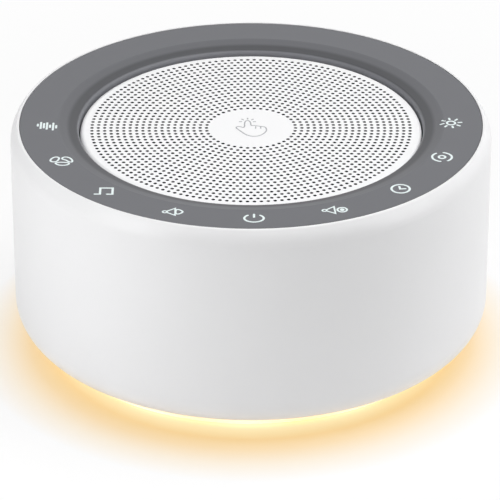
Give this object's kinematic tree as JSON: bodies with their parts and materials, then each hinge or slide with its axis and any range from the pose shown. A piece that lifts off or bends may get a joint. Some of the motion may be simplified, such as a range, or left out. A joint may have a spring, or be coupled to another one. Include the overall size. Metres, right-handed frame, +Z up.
{
  "type": "white noise sound machine",
  "caption": "Round white bedside noise machine with a grey touch ring around a perforated speaker grille and a warm light ring under its edge.",
  "frame": {"origin": "middle of the footprint, on the surface that the feet stand on", "axes": "+Z up, -Y towards the front with the power key, +Y towards the rear with the power inlet"},
  "size_m": [0.105, 0.105, 0.051],
  "materials": {
    "shell_white": "white, satin moulded plastic",
    "ring_grey": "mid grey, matt painted plastic with white printed touch icons",
    "grille_white": "white powder-coated perforated sheet",
    "cloth_black": "black woven dust cloth",
    "diffuser": "frosted translucent, lit warm by the night light",
    "base_white": "white moulded plastic",
    "deck_white": "natural white moulded plastic",
    "foot_rubber": "black rubber",
    "board_green": "green solder mask over glass laminate",
    "board_white": "white solder mask over glass laminate",
    "chip_black": "black moulded chip package",
    "can_aluminium": "capacitor can",
    "socket_white": "off-white nylon socket",
    "led_yellow": "warm white diode with its phosphor",
    "spring_steel": "bright spring wire and strip",
    "screw_steel": "zinc-plated steel",
    "frame_black": "black-coated pressed steel",
    "steel_plate": "zinc-plated magnet plates",
    "ferrite": "dark ferrite",
    "cone_paper": "black treated paper",
    "surround_rubber": "black rubber roll",
    "spider_cloth": "resin-treated corrugated cloth",
    "coil_copper": "copper winding on its former",
    "pad_foam": "dark conductive foam",
    "gasket_foam": "black foam",
    "lead_white": "white insulated wire",
    "ribbon_white": "white flat ribbon",
    "inlet_steel": "nickel-plated inlet shell"
  },
  "bodies": {
    "housing": {"drum_shell": "shell_white", "control_ring": "ring_grey", "speaker_grille": "grille_white", "grille_cloth": "cloth_black", "top_deck": "deck_white", "touch_board": "board_green", "touch_pads": "pad_foam", "grille_contact_spring": "spring_steel", "touch_chip": "chip_black", "touch_socket": "socket_white", "speaker_frame": "frame_black", "speaker_gasket": "gasket_foam", "speaker_surround": "surround_rubber", "speaker_spider": "spider_cloth", "magnet_top_plate": "steel_plate", "magnet_ring": "ferrite", "magnet_yoke": "steel_plate", "speaker_terminals": "spring_steel", "speaker_screws": "screw_steel", "light_ring": "diffuser", "led_board": "board_white", "night_leds": "led_yellow", "led_board_screws": "screw_steel", "led_socket": "socket_white", "base_plate": "base_white", "rubber_feet": "foot_rubber", "base_screws": "screw_steel", "main_board": "board_green", "sound_chip": "chip_black", "memory_chip": "chip_black", "amplifier_chip": "chip_black", "capacitors": "can_aluminium", "board_sockets": "socket_white", "main_board_screws": "screw_steel", "usb_board": "board_green", "usb_socket": "inlet_steel", "power_socket": "socket_white", "usb_board_screws": "screw_steel", "speaker_lead": "lead_white", "power_lead": "lead_white", "led_lead": "lead_white", "touch_ribbon": "ribbon_white"},
    "cone_assembly": {"speaker_cone": "cone_paper", "dust_cap": "cone_paper", "voice_coil": "coil_copper"}
  },
  "joints": [
    {"name": "cone_travel", "type": "slide", "parent": "housing", "child": "cone_assembly", "axis": [0, 0, 1], "range_m": [-0.0015, 0.0015], "stiffness_N_per_m": 1200, "deforming": ["speaker_surround", "speaker_spider"]}
  ]
}
